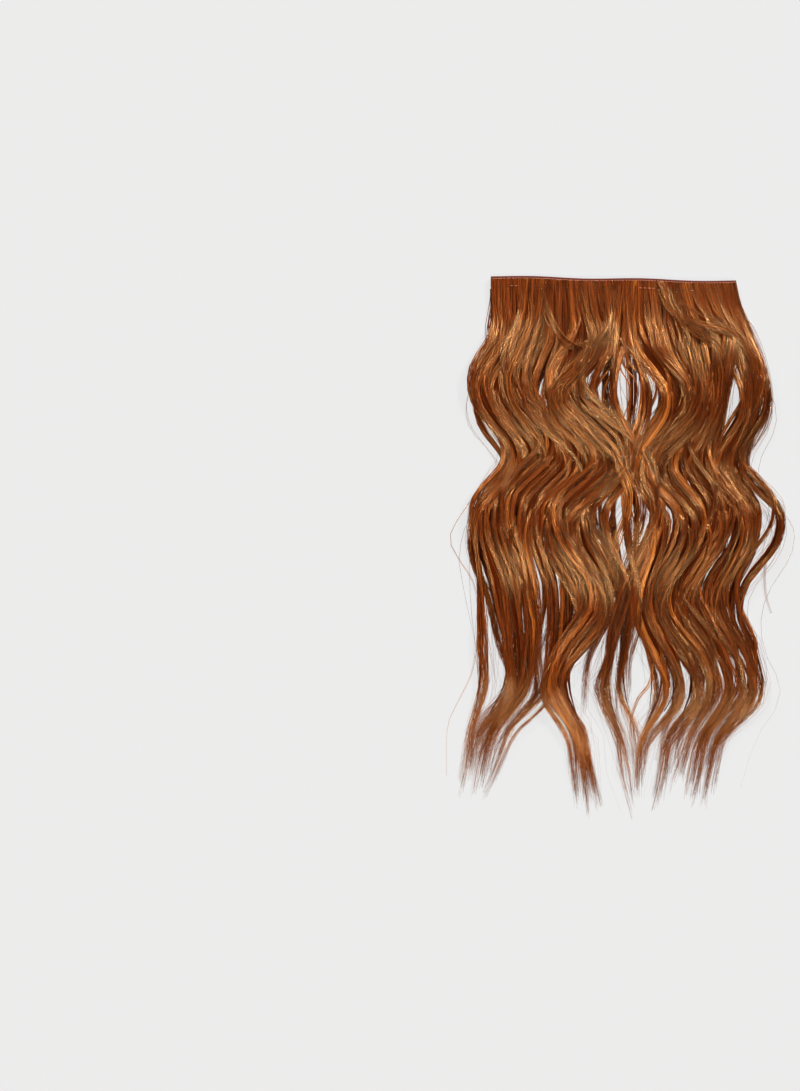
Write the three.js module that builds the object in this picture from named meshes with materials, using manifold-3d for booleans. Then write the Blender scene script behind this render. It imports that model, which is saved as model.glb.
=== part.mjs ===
// A clip-in hair extension, laid flat: a sewn fabric band with a rolled seam, two layers of waved hair
// fused to their sewn roots, and three comb clips under the band. Millimetres, +Z up.
// The band runs along X, the hair falls towards -Y, and the clips and the hair lie on z = 0.
import * as THREE from "three";
import { mergeVertices } from "three/addons/utils/BufferGeometryUtils.js";
import Module from "manifold-3d";

const wasm = await Module();
wasm.setup();

// Driving sizes of the whole piece
const WEFT_WIDTH = 165;
const HAIR_LENGTH = 367;
const CLEARANCE = 0.3;

// The fabric band and the rolled seam on its top edge
const BAND_HEIGHT = 7;
const BAND_THICKNESS = 1.8;
const SEAM_DIAMETER = 1.7;
const SEAM_SIDES = 10;
const EDGE_WAVE = 0.5;
const EDGE_WAVE_PITCH = 74;
const EDGE_STEPS = 24;

// The clips
const CLIP_WIDTH = 32;
const CLIP_HEIGHT = 13;
const CLIP_THICKNESS = 3.2;
const CLIP_FRAME = 2.6;
const CLIP_BELOW_EDGE = 0.8;
const CLIP_END_RADIUS = 3;
const TOOTH_WIDTH = 1.6;
const TOOTH_THICKNESS = 1.2;
const TOOTH_PITCH = 3.3;
const TOOTH_TIP_GAP = 1.2;
const SHORTEST_TOOTH = 0.65;
const SHOULDER = 0.45;

// The hair: its sewn roots, and how thick and how high its locks lie. At the roots a lock is spread to
// ROOT_SPREAD of its width and has gone ROOT_LEAN of its way across to the neck. TIP_REACH is the least
// share of the hair's length between a lock's last turn and its tip.
const ROOT_THICKNESS = 2;
const ROOT_LENGTH = 16;
const ROOT_SPREAD = 1.5;
const ROOT_LEAN = 0.3;
const LOCK_THICKNESS = 4.4;
const PILE_HEIGHT = 12.5;
const TIP_REACH = 0.04;
const LEAST_SLANT = 0.62;
const LOCK_SIDES = 6;
const STEPS_PER_TURN = 4;

// Where each clip's middle lies along the band, as a share of its width from the left end
const CLIPS = [
  { name: "clip_left", along: 0.14 },
  { name: "clip_middle", along: 0.5 },
  { name: "clip_right", along: 0.86 },
];

// Rows under the named columns of the first row
function table([columns, ...rows]) {
  return rows.map((row) => Object.fromEntries(row.map((value, i) => [columns[i], value])));
}

// The turns that the waves make on their way down. Each row has its depth as a share of the hair's
// length, a lock's width there as a share of its own full width, its thickness as a share of
// LOCK_THICKNESS, and the height of its middle in either layer as a share of PILE_HEIGHT.
const TURNS = table([
  ["at", "depth", "width", "thickness", "over", "under"],
  ["neck", 0.105, 1.75, 0.68, 0.63, 0.2],
  ["bulge1", 0.2125, 1.3, 0.92, 0.76, 0.24],
  ["waist1", 0.335, 1.35, 0.85, 0.7, 0.2],
  ["bulge2", 0.441, 1.25, 0.95, 0.78, 0.25],
  ["waist2", 0.588, 1.3, 0.85, 0.68, 0.2],
  ["bulge3", 0.72, 1.1, 0.72, 0.56, 0.19],
  ["drop", 0.859, 0.85, 0.5, 0.34, 0.1],
  ["tip", 1.0, 0.35, 0.2, 0.14, 0.045],
]);

// The locks, from left to right. The columns named for the turns hold the lock's middle as a share of
// the band's width from its left end. "end" is the depth of its tip as a share of the hair's length,
// "width" its full width as a share of the band's, and "late" how much lower than TURNS it turns.
const LOCKS = table([
  ["layer", "root", "neck", "bulge1", "waist1", "bulge2", "waist2",
    "bulge3", "drop", "tip", "end", "width", "late"],
  ["under", 0.02, 0.03, -0.06, 0.075, -0.055, 0.025, 0.0, -0.055, -0.075, 0.97, 0.045, 0.0],
  ["under", 0.06, 0.07, -0.04, 0.125, -0.02, 0.065, 0.02, -0.03, -0.055, 0.93, 0.035, 0.0],
  ["over", 0.1, 0.1, 0.07, 0.185, 0.01, 0.225, 0.08, -0.015, -0.045, 0.96, 0.075, 0.0],
  ["over", 0.2, 0.14, 0.17, 0.275, 0.11, 0.305, 0.17, 0.185, 0.2, 0.8, 0.065, 0.0],
  ["under", 0.23, 0.19, 0.18, 0.32, 0.16, 0.31, 0.23, 0.22, 0.21, 0.78, 0.06, 0.0],
  ["over", 0.29, 0.21, 0.18, 0.365, 0.165, 0.315, 0.26, 0.075, 0.01, 0.98, 0.055, 0.0],
  ["over", 0.36, 0.305, 0.235, 0.46, 0.35, 0.5, 0.32, 0.41, 0.45, 1.0, 0.1, -0.01],
  ["under", 0.42, 0.435, 0.255, 0.505, 0.425, 0.49, 0.43, 0.42, 0.415, 0.8, 0.045, -0.02],
  ["over", 0.455, 0.48, 0.375, 0.63, 0.665, 0.56, 0.505, 0.535, 0.645, 1.0, 0.052, -0.02],
  ["under", 0.49, 0.49, 0.455, 0.56, 0.63, 0.58, 0.57, 0.545, 0.525, 0.81, 0.048, -0.02],
  ["over", 0.51, 0.53, 0.6, 0.54, 0.43, 0.56, 0.7, 0.65, 0.64, 0.985, 0.052, -0.01],
  ["under", 0.54, 0.56, 0.67, 0.575, 0.46, 0.54, 0.69, 0.63, 0.62, 0.88, 0.045, -0.02],
  ["over", 0.6, 0.625, 0.8, 0.625, 0.755, 0.665, 0.86, 0.765, 0.685, 0.985, 0.1, -0.02],
  ["under", 0.66, 0.71, 0.875, 0.68, 0.83, 0.69, 0.84, 0.78, 0.745, 0.93, 0.055, -0.02],
  ["over", 0.75, 0.86, 0.91, 0.765, 0.885, 0.82, 1.0, 0.85, 0.765, 0.97, 0.06, -0.015],
  ["under", 0.82, 0.96, 0.985, 0.825, 0.955, 0.86, 1.03, 0.91, 0.85, 0.93, 0.055, -0.015],
  ["over", 0.89, 0.945, 0.985, 0.92, 1.025, 0.915, 1.07, 0.91, 0.855, 0.99, 0.065, -0.015],
  ["under", 0.94, 0.99, 1.08, 0.985, 1.12, 0.995, 1.09, 0.955, 0.92, 0.975, 0.055, -0.01],
  ["over", 0.965, 1.05, 1.125, 1.065, 1.175, 1.05, 1.115, 0.98, 0.925, 0.98, 0.06, -0.005],
]);

// Heights of the stack at the band, from the clips up
const bandBottom = CLIP_THICKNESS + CLEARANCE;
const bandTop = bandBottom + BAND_THICKNESS;
const overRootBottom = bandTop + CLEARANCE;

// Each layer's roots: how high their middle lies, and how far below the top edge they begin
const ROOTS = {
  over: {
    middle: overRootBottom + ROOT_THICKNESS / 2,
    thickness: ROOT_THICKNESS,
    start: SEAM_DIAMETER + CLEARANCE,
  },
  under: {
    middle: bandBottom + BAND_THICKNESS / 2,
    thickness: BAND_THICKNESS,
    start: BAND_HEIGHT + CLEARANCE,
  },
};

// Finishes
const hairFinish = { color: 0x83461f, roughness: 0.45, metalness: 0 };
const bandFinish = { color: 0x3d2315, roughness: 0.85, metalness: 0 };
const clipFinish = { color: 0x2a1a13, roughness: 0.4, metalness: 0.6 };

// The x of a share of the band's width, and the gentle wave of the sewn edge there
const acrossBand = (share) => (share - 0.5) * WEFT_WIDTH;
const edgeWave = (x) => EDGE_WAVE * Math.sin((2 * Math.PI * x) / EDGE_WAVE_PITCH);

function namedMesh(name, geometry, finish) {
  const mesh = new THREE.Mesh(geometry, new THREE.MeshStandardMaterial(finish));
  mesh.name = name;
  return mesh;
}

// A closed geometry as a solid, and a solid as a geometry again
function solidOf(geometry) {
  const bare = geometry.clone();
  bare.deleteAttribute("normal");
  bare.deleteAttribute("uv");
  const merged = mergeVertices(bare, 1e-4);
  return new wasm.Manifold(
    new wasm.Mesh({
      numProp: 3,
      vertProperties: merged.attributes.position.array,
      triVerts: new Uint32Array(merged.index.array),
    }),
  );
}

function geometryOf(solid) {
  const { vertProperties, triVerts } = solid.getMesh();
  const geometry = new THREE.BufferGeometry();
  geometry.setAttribute("position", new THREE.BufferAttribute(vertProperties, 3));
  geometry.setIndex(new THREE.BufferAttribute(triVerts, 1));
  geometry.computeVertexNormals();
  return geometry;
}

// A flat strip along the band between two depths, with both long edges waved like the sewn edge
function stripGeometry(topDepth, bottomDepth, bottomZ, thickness) {
  const outline = new THREE.Shape();
  const station = (i) => acrossBand(i / EDGE_STEPS);
  outline.moveTo(station(0), edgeWave(station(0)) - topDepth);
  for (let i = 1; i <= EDGE_STEPS; i++) outline.lineTo(station(i), edgeWave(station(i)) - topDepth);
  for (let i = EDGE_STEPS; i >= 0; i--) outline.lineTo(station(i), edgeWave(station(i)) - bottomDepth);
  outline.closePath();
  const strip = new THREE.ExtrudeGeometry(outline, { depth: thickness, bevelEnabled: false });
  return strip.translate(0, 0, bottomZ);
}

function makeBand() {
  return namedMesh("weft_band", stripGeometry(0, BAND_HEIGHT, bandBottom, BAND_THICKNESS), bandFinish);
}

// The rolled seam: a round roll laid on the band along its top edge
function makeSeam() {
  const radius = SEAM_DIAMETER / 2;
  const stations = Array.from({ length: EDGE_STEPS + 1 }, (_, i) => {
    const x = acrossBand(i / EDGE_STEPS);
    return new THREE.Vector3(x, edgeWave(x) - radius, bandTop + CLEARANCE + radius);
  });
  const section = new THREE.Shape();
  for (let i = 0; i < SEAM_SIDES; i++) {
    const angle = (2 * Math.PI * i) / SEAM_SIDES;
    const [across, up] = [radius * Math.cos(angle), radius * Math.sin(angle)];
    if (i === 0) section.moveTo(across, up);
    else section.lineTo(across, up);
  }
  section.closePath();
  const roll = new THREE.ExtrudeGeometry(section, {
    steps: EDGE_STEPS,
    extrudePath: new THREE.CatmullRomCurve3(stations),
    bevelEnabled: false,
  });
  return namedMesh("top_seam", roll, bandFinish);
}

// One lock: a cylinder whose rings are moved, widened and flattened along the lock's own turns. Every
// ring keeps one depth, and is widened where the lock runs aslant, so that the lock keeps its width.
function lockGeometry(lock) {
  const roots = ROOTS[lock.layer];
  const row = (at, shares, depth) => ({
    x: acrossBand(lock[at]),
    y: -depth * HAIR_LENGTH,
    z: shares[lock.layer] * PILE_HEIGHT,
    width: shares.width * lock.width * WEFT_WIDTH,
    thickness: shares.thickness * LOCK_THICKNESS,
  });
  const turns = TURNS.slice(0, -1).filter((turn) => turn.depth + lock.late < lock.end - TIP_REACH);
  const tip = TURNS[TURNS.length - 1];
  const falling = turns.map((turn) => row(turn.at, turn, turn.depth + lock.late));
  falling.push(row("tip", tip, lock.end));
  // two level rows carry the lock over the band and the clips, as wide as it is at the neck
  const width = ROOT_SPREAD * lock.width * WEFT_WIDTH;
  const sewn = { z: roots.middle, thickness: roots.thickness, width };
  const rows = [
    { ...sewn, x: acrossBand(lock.root), y: -roots.start - CLEARANCE },
    { ...sewn, x: acrossBand(THREE.MathUtils.lerp(lock.root, lock.neck, ROOT_LEAN)), y: -ROOT_LENGTH },
    ...falling,
  ];
  const last = rows.length - 1;
  const points = rows.map(({ x, y, z }) => new THREE.Vector3(x, y, z));
  const middle = new THREE.CatmullRomCurve3(points, false, "catmullrom");
  const between = (key, place) => {
    const i = Math.min(Math.floor(place), last - 1);
    return THREE.MathUtils.lerp(rows[i][key], rows[i + 1][key], THREE.MathUtils.smoothstep(place - i, 0, 1));
  };
  // the level root stretch is one step, and each turn below it has STEPS_PER_TURN
  const places = [0];
  for (let i = 0; i <= (last - 1) * STEPS_PER_TURN; i++) places.push(1 + i / STEPS_PER_TURN);
  const rings = places.length - 1;
  const geometry = new THREE.CylinderGeometry(1, 1, 1, LOCK_SIDES, rings, false, Math.PI / 2);
  const ring = geometry.attributes.position;
  for (let i = 0; i < ring.count; i++) {
    const place = places[Math.round((0.5 - ring.getY(i)) * rings)];
    const centre = middle.getPoint(place / last);
    const along = middle.getTangent(place / last);
    const slant = Math.max(Math.abs(along.y) / Math.hypot(along.x, along.y), LEAST_SLANT);
    const across = (ring.getX(i) * between("width", place)) / 2 / slant;
    const up = (ring.getZ(i) * between("thickness", place)) / 2;
    ring.setXYZ(i, centre.x + across, centre.y, centre.z + up);
  }
  return geometry;
}

// A layer of hair: its locks fused to the strip of sewn roots that they hang from
function makeHair(name, layer) {
  const roots = ROOTS[layer];
  const bottom = roots.middle - roots.thickness / 2;
  let hair = solidOf(stripGeometry(roots.start, ROOT_LENGTH, bottom, roots.thickness));
  for (const lock of LOCKS) if (lock.layer === layer) hair = hair.add(solidOf(lockGeometry(lock)));
  return namedMesh(name, geometryOf(hair), hairFinish);
}

// A clip: a flat frame with an arched top, and comb teeth that stand up from its lower bar
function makeClip({ name, along }) {
  const half = CLIP_WIDTH / 2;
  const top = -CLIP_BELOW_EDGE - EDGE_WAVE;
  const bottom = top - CLIP_HEIGHT;
  const arch = (shape, inset) => {
    const [side, low, radius] = [half - inset, bottom + inset, Math.max(CLIP_END_RADIUS - inset, 0.5)];
    const shoulder = low + (CLIP_HEIGHT - 2 * inset) * SHOULDER;
    shape.moveTo(-side + radius, low);
    shape.lineTo(side - radius, low);
    shape.quadraticCurveTo(side, low, side, low + radius);
    shape.lineTo(side, shoulder);
    shape.quadraticCurveTo(side, top - inset, side * 0.5, top - inset);
    shape.lineTo(-side * 0.5, top - inset);
    shape.quadraticCurveTo(-side, top - inset, -side, shoulder);
    shape.lineTo(-side, low + radius);
    shape.quadraticCurveTo(-side, low, -side + radius, low);
    return shape;
  };
  const outline = arch(new THREE.Shape(), 0);
  outline.holes.push(arch(new THREE.Path(), CLIP_FRAME));
  const settings = { depth: CLIP_THICKNESS, bevelEnabled: false, curveSegments: 4 };
  let clip = solidOf(new THREE.ExtrudeGeometry(outline, settings));
  const room = CLIP_WIDTH - 2 * CLIP_FRAME;
  const teeth = Math.floor((room - TOOTH_WIDTH) / TOOTH_PITCH);
  const toothLength = CLIP_HEIGHT - 2 * CLIP_FRAME - TOOTH_TIP_GAP;
  for (let i = 0; i < teeth; i++) {
    const x = (i - (teeth - 1) / 2) * TOOTH_PITCH;
    // the outer teeth are shorter, under the arch's shoulders
    const length = toothLength * (1 - (1 - SHORTEST_TOOTH) * (x / (room / 2)) ** 2);
    const tooth = new THREE.BoxGeometry(TOOTH_WIDTH, length + CLIP_FRAME / 2, TOOTH_THICKNESS);
    tooth.translate(x, bottom + CLIP_FRAME / 2 + (length + CLIP_FRAME / 2) / 2, CLIP_THICKNESS / 2);
    clip = clip.add(solidOf(tooth));
  }
  const mesh = namedMesh(name, geometryOf(clip), clipFinish);
  mesh.position.x = acrossBand(along);
  return mesh;
}

// The whole piece, moved so that its origin is the middle of its footprint, on the surface it lies on
const extension = new THREE.Group();
extension.add(makeBand(), makeSeam(), makeHair("hair_over", "over"), makeHair("hair_under", "under"));
extension.add(...CLIPS.map(makeClip));
extension.updateMatrixWorld(true);
const reach = new THREE.Box3().setFromObject(extension, true);
const footprint = reach.getCenter(new THREE.Vector3());
footprint.z = reach.min.z;
for (const piece of extension.children) piece.position.sub(footprint);

export default extension;
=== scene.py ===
"""A waved clip-in hair extension, dressed around its solids: strands, sewn band, stitches, clips, stage."""
import math

import bmesh
import bpy
import numpy as np
from bpy.props import FloatProperty, FloatVectorProperty, IntProperty, PointerProperty
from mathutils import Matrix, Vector


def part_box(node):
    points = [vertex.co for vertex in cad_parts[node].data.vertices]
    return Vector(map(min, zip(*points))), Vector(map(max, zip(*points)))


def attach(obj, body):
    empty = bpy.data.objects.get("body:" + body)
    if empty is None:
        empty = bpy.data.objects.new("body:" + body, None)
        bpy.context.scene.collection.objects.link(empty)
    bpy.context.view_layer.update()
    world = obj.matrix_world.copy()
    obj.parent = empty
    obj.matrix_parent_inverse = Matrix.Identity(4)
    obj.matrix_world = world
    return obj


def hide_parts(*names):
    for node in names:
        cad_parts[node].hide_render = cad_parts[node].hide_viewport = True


bl_info = {
    "name": "Clip-in hair extension",
    "version": (1, 0, 0),
    "blender": (4, 5, 0),
    "location": "3D View > Sidebar > Hair extension",
    "description": "Adds the strands, the stitches and the finishes of a waved clip-in hair extension",
    "category": "Add Mesh",
}

MM = 0.001
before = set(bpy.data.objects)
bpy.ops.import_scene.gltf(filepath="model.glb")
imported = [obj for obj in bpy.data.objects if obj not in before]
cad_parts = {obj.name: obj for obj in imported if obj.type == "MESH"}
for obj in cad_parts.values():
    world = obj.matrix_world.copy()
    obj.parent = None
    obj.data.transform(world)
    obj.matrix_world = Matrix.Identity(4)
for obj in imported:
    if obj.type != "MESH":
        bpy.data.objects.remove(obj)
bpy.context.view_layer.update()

# The band's own frame: its left end, its width, and the top edge that the depths are measured from
BAND_LOW, BAND_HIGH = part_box("weft_band")
OVER_LOW, OVER_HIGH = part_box("hair_over")
EDGE_WAVE = 0.5 * MM
EDGE_WAVE_PITCH = 74 * MM
WEFT_WIDTH = BAND_HIGH.x - BAND_LOW.x
BAND_LEFT = BAND_LOW.x
BAND_MIDDLE = (BAND_LOW.x + BAND_HIGH.x) / 2
EDGE_Y = BAND_HIGH.y - EDGE_WAVE
BAND_HEIGHT = BAND_HIGH.y - BAND_LOW.y - 2 * EDGE_WAVE
HAIR_LENGTH = EDGE_Y - OVER_LOW.y
PILE_HEIGHT = OVER_HIGH.z

# The photograph's frame in its own pixels, and the band in it, for the camera
PHOTO_SIZE = (800, 1091)
BAND_CORNER_PX = (491, 276)
BAND_WIDTH_PX = 245
BAND_TILT = math.radians(1.17)


def table(columns, *rows):
    """Rows of values under named columns."""
    return [dict(zip(columns, row)) for row in rows]


# The turns of the waves: depth as a share of the hair's length, the width of a lock there as a share
# of its own, its thickness in mm, and how high its middle lies in each layer in mm
TURNS = table(
    ("at", "depth", "width", "thickness", "over", "under"),
    ("neck", 0.105, 1.75, 2.6, 7.0, 3.2),
    ("bulge1", 0.2125, 1.3, 3.6, 12.0, 5.6),
    ("waist1", 0.335, 1.35, 3.4, 6.6, 2.6),
    ("bulge2", 0.441, 1.25, 3.6, 12.4, 5.6),
    ("waist2", 0.588, 1.3, 3.4, 6.2, 2.6),
    ("bulge3", 0.72, 1.0, 3.0, 9.4, 3.8),
    ("drop", 0.859, 0.8, 2.2, 4.2, 1.6),
    ("tip", 1.0, 0.65, 1.2, 1.7, 0.9),
)

# The locks from left to right: their middles at each turn and their widths as shares of the band's
# width, where they end, how far they lie above their layer in mm, and how densely they are filled
LOCKS = table(
    ("layer", "root", "neck", "bulge1", "waist1", "bulge2", "waist2",
     "bulge3", "drop", "tip", "end", "width", "lift", "fill"),
    ("under", 0.03, 0.04, -0.04, 0.1, -0.03, 0.05, 0.1, -0.02, -0.075, 0.95, 0.05, 0.0, 1.0),
    ("under", 0.1, 0.09, 0.02, 0.15, 0.03, 0.11, 0.135, 0.01, -0.04, 0.93, 0.05, 0.4, 1.0),
    ("under", 0.18, 0.15, 0.1, 0.215, 0.12, 0.175, 0.17, 0.06, 0.02, 0.93, 0.055, 0.0, 1.0),
    ("under", 0.25, 0.22, 0.17, 0.28, 0.19, 0.25, 0.2, 0.2, 0.21, 0.78, 0.05, 0.4, 1.0),
    ("under", 0.32, 0.3, 0.27, 0.35, 0.28, 0.34, 0.31, 0.38, 0.42, 0.95, 0.055, 0.0, 1.0),
    ("under", 0.39, 0.39, 0.32, 0.42, 0.35, 0.42, 0.35, 0.42, 0.46, 0.97, 0.05, 0.4, 1.0),
    ("under", 0.45, 0.46, 0.37, 0.5, 0.43, 0.49, 0.42, 0.42, 0.41, 0.82, 0.035, 0.0, 0.8),
    ("under", 0.5, 0.5, 0.475, 0.55, 0.515, 0.56, 0.56, 0.56, 0.58, 0.84, 0.028, 0.4, 0.6),
    ("under", 0.55, 0.562, 0.585, 0.57, 0.612, 0.585, 0.575, 0.62, 0.63, 0.9, 0.026, 0.0, 0.6),
    ("under", 0.62, 0.61, 0.735, 0.63, 0.7, 0.64, 0.69, 0.67, 0.65, 0.93, 0.04, 0.4, 1.0),
    ("under", 0.69, 0.73, 0.8, 0.7, 0.79, 0.72, 0.78, 0.75, 0.7, 0.93, 0.055, 0.0, 1.0),
    ("under", 0.76, 0.81, 0.87, 0.77, 0.87, 0.79, 0.86, 0.81, 0.76, 0.93, 0.055, 0.4, 1.0),
    ("under", 0.83, 0.88, 0.93, 0.85, 0.95, 0.86, 0.93, 0.86, 0.82, 0.93, 0.05, 0.0, 1.0),
    ("under", 0.9, 0.95, 0.95, 0.92, 1.03, 0.93, 1.0, 0.9, 0.86, 0.95, 0.05, 0.4, 1.0),
    ("under", 0.96, 1.02, 1.09, 1.01, 1.11, 1.01, 1.09, 0.97, 0.9, 0.93, 0.04, 0.0, 0.8),
    ("over", 0.025, 0.03, -0.062, 0.085, -0.047, -0.012, -0.01, -0.045, -0.08, 0.97, 0.034, 0.0, 0.8),
    ("over", 0.07, 0.065, -0.02, 0.12, -0.01, 0.065, 0.105, 0.0, -0.06, 0.95, 0.04, 0.6, 1.0),
    ("over", 0.12, 0.1, 0.03, 0.18, 0.04, 0.12, 0.15, 0.03, -0.03, 0.96, 0.05, 0.0, 1.0),
    ("over", 0.17, 0.135, 0.08, 0.245, 0.085, 0.17, 0.195, 0.055, 0.005, 0.975, 0.05, 0.8, 1.0),
    ("over", 0.22, 0.175, 0.125, 0.305, 0.155, 0.205, 0.22, 0.18, 0.18, 0.82, 0.045, 0.0, 1.0),
    ("over", 0.27, 0.215, 0.165, 0.355, 0.21, 0.285, 0.265, 0.1, 0.01, 0.97, 0.045, 0.7, 1.0),
    ("over", 0.315, 0.29, 0.25, 0.42, 0.26, 0.4, 0.28, 0.37, 0.4, 0.98, 0.055, 0.0, 1.0),
    ("over", 0.36, 0.37, 0.28, 0.47, 0.3, 0.45, 0.305, 0.4, 0.44, 1.0, 0.055, 1.0, 1.0),
    ("over", 0.41, 0.44, 0.31, 0.515, 0.345, 0.495, 0.335, 0.43, 0.49, 1.0, 0.05, 0.2, 1.0),
    ("over", 0.45, 0.475, 0.345, 0.55, 0.39, 0.515, 0.42, 0.415, 0.41, 0.8, 0.04, 0.8, 0.9),
    ("over", 0.475, 0.5, 0.425, 0.565, 0.43, 0.56, 0.5, 0.555, 0.63, 1.0, 0.026, 0.0, 0.9),
    ("over", 0.5, 0.48, 0.355, 0.625, 0.685, 0.57, 0.51, 0.57, 0.635, 0.97, 0.036, 1.6, 1.0),
    ("over", 0.535, 0.525, 0.505, 0.6, 0.475, 0.59, 0.57, 0.63, 0.64, 0.985, 0.026, 0.3, 0.9),
    ("over", 0.565, 0.572, 0.64, 0.58, 0.564, 0.62, 0.58, 0.57, 0.56, 0.8, 0.03, 0.9, 0.9),
    ("over", 0.61, 0.612, 0.735, 0.62, 0.71, 0.64, 0.73, 0.655, 0.65, 0.96, 0.05, 0.2, 1.0),
    ("over", 0.66, 0.685, 0.81, 0.65, 0.78, 0.675, 0.79, 0.68, 0.66, 0.94, 0.052, 1.2, 1.0),
    ("over", 0.71, 0.745, 0.855, 0.69, 0.83, 0.71, 0.85, 0.77, 0.7, 0.985, 0.052, 0.5, 1.0),
    ("over", 0.76, 0.86, 0.885, 0.75, 0.885, 0.75, 0.9, 0.8, 0.73, 0.94, 0.045, 0.0, 1.0),
    ("over", 0.81, 0.9, 0.915, 0.82, 0.93, 0.8, 0.945, 0.86, 0.8, 0.95, 0.045, 0.9, 1.0),
    ("over", 0.86, 0.95, 0.95, 0.87, 0.98, 0.85, 0.995, 0.89, 0.84, 0.97, 0.045, 0.3, 1.0),
    ("over", 0.9, 0.985, 0.95, 0.92, 1.03, 0.905, 1.045, 0.92, 0.875, 0.98, 0.042, 0.8, 1.0),
    ("over", 0.94, 1.02, 1.058, 0.975, 1.085, 0.96, 1.085, 0.96, 0.9, 0.99, 0.042, 0.0, 1.0),
    ("over", 0.98, 1.055, 1.13, 1.04, 1.19, 1.04, 1.115, 0.985, 0.92, 0.97, 0.036, 0.5, 0.7),
    ("over", 0.7, 0.96, 1.04, 0.94, 1.05, 0.96, 1.03, 0.93, 0.89, 0.95, 0.026, 2.2, 1.0),
)

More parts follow.
